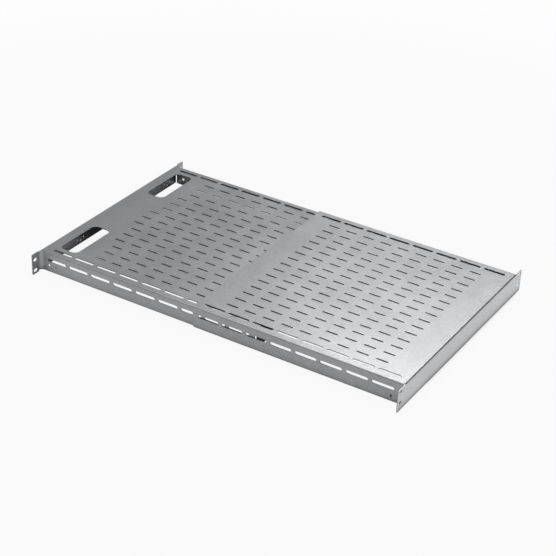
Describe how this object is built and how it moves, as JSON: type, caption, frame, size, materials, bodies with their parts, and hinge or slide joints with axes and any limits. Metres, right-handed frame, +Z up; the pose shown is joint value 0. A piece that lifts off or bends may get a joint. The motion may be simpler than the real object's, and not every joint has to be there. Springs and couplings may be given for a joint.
{
  "type": "adjustable rack shelf",
  "caption": "One-unit vented rack shelf for four-post racks: two folded steel trays that nest and slide to fit the depth between front and rear posts, with slotted ears.",
  "frame": {"origin": "under the middle of the drawn-out shelf, at the height of the lowest edges of its ears", "axes": "+Z up, +Y from the front posts to the rear posts, +X to the right seen from the front"},
  "size_m": [0.4826, 0.7672, 0.044],
  "materials": {
    "painted_steel": "satin"
  },
  "bodies": {
    "outer_tray": {"outer_tray": "painted_steel"},
    "inner_tray": {"inner_tray": "painted_steel"}
  },
  "joints": [
    {"name": "depth_slide", "type": "slide", "parent": "outer_tray", "child": "inner_tray", "axis": [0, 1, 0], "range_m": [-0.288, 0]}
  ]
}
